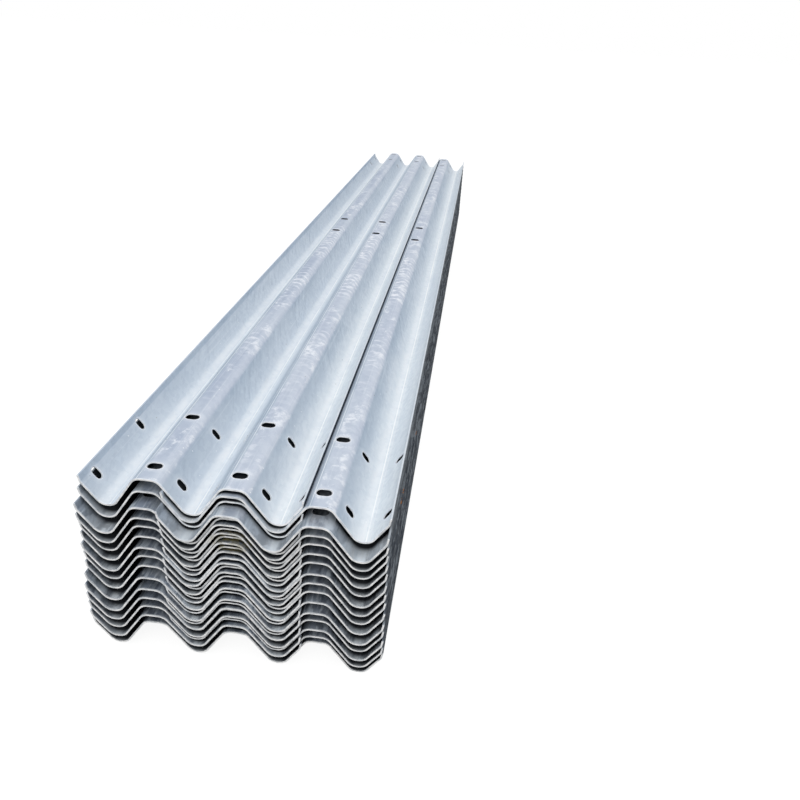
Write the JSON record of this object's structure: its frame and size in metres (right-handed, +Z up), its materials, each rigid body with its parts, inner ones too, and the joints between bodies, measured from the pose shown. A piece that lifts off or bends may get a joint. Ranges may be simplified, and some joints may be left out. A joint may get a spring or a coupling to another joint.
{
  "type": "highway guardrail section",
  "caption": "Yard stack of loose galvanised thrie-beam guardrail sections, nested face down, every second one a wave to the side, with bolt slots at the ends and middle.",
  "frame": {"origin": "on the floor, under the middle of the stack's outline", "axes": "+Y along the beams, away from their near ends; +X across them, towards the column that is set one wave over; +Z up"},
  "size_m": [0.6958, 4.38, 0.4706],
  "materials": {
    "galvanised_steel": "hot-dip galvanised, pale blue-grey with spangle and roller marks"
  },
  "bodies": {
    "root": {"left_beam_01": "galvanised_steel", "left_beam_02": "galvanised_steel", "left_beam_03": "galvanised_steel", "left_beam_04": "galvanised_steel", "left_beam_05": "galvanised_steel", "left_beam_06": "galvanised_steel", "left_beam_07": "galvanised_steel", "left_beam_08": "galvanised_steel", "left_beam_09": "galvanised_steel", "left_beam_10": "galvanised_steel", "left_beam_11": "galvanised_steel", "left_beam_12": "galvanised_steel", "left_beam_13": "galvanised_steel", "left_beam_14": "galvanised_steel", "left_beam_15": "galvanised_steel", "right_beam_01": "galvanised_steel", "right_beam_02": "galvanised_steel", "right_beam_03": "galvanised_steel", "right_beam_04": "galvanised_steel", "right_beam_05": "galvanised_steel", "right_beam_06": "galvanised_steel", "right_beam_07": "galvanised_steel", "right_beam_08": "galvanised_steel", "right_beam_09": "galvanised_steel", "right_beam_10": "galvanised_steel", "right_beam_11": "galvanised_steel", "right_beam_12": "galvanised_steel", "right_beam_13": "galvanised_steel", "right_beam_14": "galvanised_steel", "right_beam_15": "galvanised_steel"}
  },
  "joints": []
}
